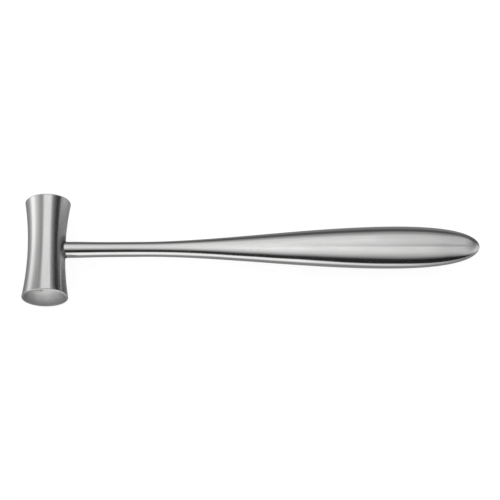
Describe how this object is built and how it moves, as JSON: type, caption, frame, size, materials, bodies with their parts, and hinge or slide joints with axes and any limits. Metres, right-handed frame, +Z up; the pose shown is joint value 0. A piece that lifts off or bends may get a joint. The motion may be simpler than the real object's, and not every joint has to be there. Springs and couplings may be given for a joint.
{
  "type": "surgical mallet",
  "caption": "All-steel surgical mallet: a waisted head with crowned striking faces on a solid neck, and a hollow spindle-shaped grip with a rounded butt.",
  "frame": {"origin": "on the table, below the middle of the outline, with the mallet lying on its side and the head's rims touching the table", "axes": "+X along the handle from the head towards the butt, +Y along the head's own axis, +Z up"},
  "size_m": [0.21, 0.0506, 0.0208],
  "materials": {
    "head_steel": "fine satin, ground along the head and turned on the faces",
    "handle_steel": "satin, near bright, ground along the handle",
    "weld": "ground flush with the steel beside it and satin finished",
    "braze": "smooth silver braze, a little darker than the steel"
  },
  "bodies": {
    "root": {"head": "head_steel", "head_braze": "braze", "handle_stem": "handle_steel", "stem_weld": "weld", "left_grip_shell": "handle_steel", "right_grip_shell": "handle_steel", "seam_weld": "weld"}
  },
  "joints": []
}
